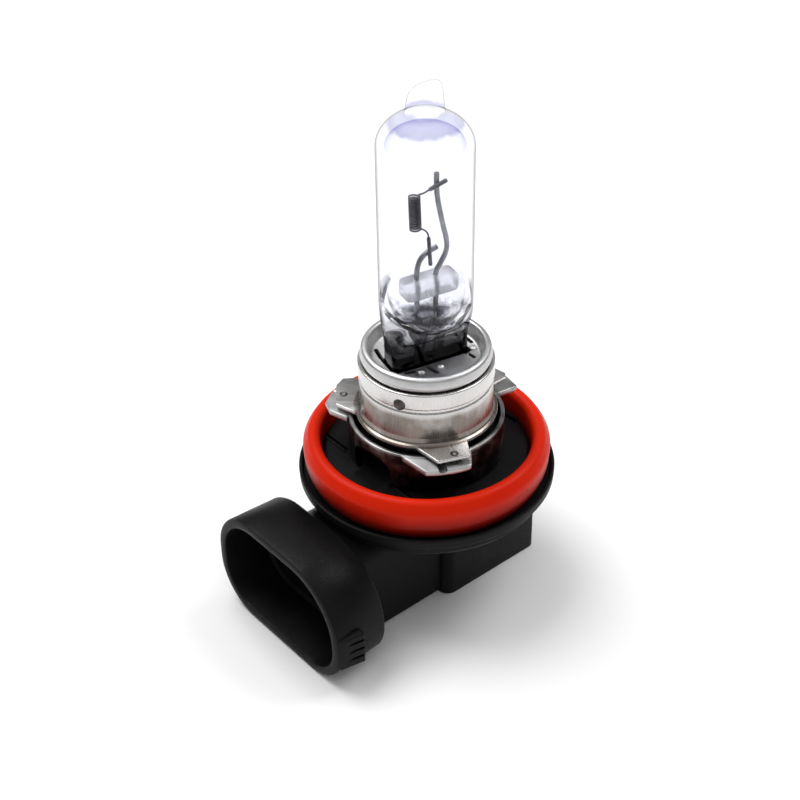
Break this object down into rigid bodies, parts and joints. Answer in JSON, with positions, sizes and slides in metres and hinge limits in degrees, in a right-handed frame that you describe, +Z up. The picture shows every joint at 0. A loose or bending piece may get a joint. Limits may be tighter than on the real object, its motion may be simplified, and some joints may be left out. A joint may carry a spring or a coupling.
{
  "type": "headlight bulb",
  "caption": "Automotive halogen headlight bulb: quartz capsule with axial filament, steel locating collar, sealed flange and a right-angle plug-in socket.",
  "frame": {"origin": "on the bulb's axis, at the underside of the base that it stands on", "axes": "+Z up along the bulb's axis, towards the glass tip; -Y out of the connector socket"},
  "size_m": [0.0318, 0.0395, 0.067],
  "materials": {
    "clear_quartz": "clear fire-polished quartz glass",
    "tungsten": "dark drawn tungsten wire",
    "molybdenum": "grey drawn molybdenum wire and foil",
    "bright_steel": "bright stamped stainless steel",
    "black_moulding": "black glass-filled nylon with a fine moulded texture",
    "potting_resin": "dark cast resin",
    "red_seal": "satin orange-red silicone rubber",
    "tinned_contact": "tinned brass"
  },
  "bodies": {
    "root": {"glass_envelope": "clear_quartz", "quartz_bridge": "clear_quartz", "filament_coil": "tungsten", "upper_filament_sleeve": "molybdenum", "lower_filament_sleeve": "molybdenum", "long_support_wire": "molybdenum", "short_support_wire": "molybdenum", "sealing_foil_left": "molybdenum", "sealing_foil_right": "molybdenum", "outer_lead_left": "molybdenum", "outer_lead_right": "molybdenum", "pinch_clip": "bright_steel", "holder_cup": "bright_steel", "reference_collar": "bright_steel", "base_ring": "bright_steel", "base_body": "black_moulding", "bottom_cover": "black_moulding", "potting_plug": "potting_resin", "seal_ring": "red_seal", "contact_blade_left": "tinned_contact", "contact_blade_right": "tinned_contact", "lead_strap_left": "tinned_contact", "lead_strap_right": "tinned_contact"}
  },
  "joints": []
}
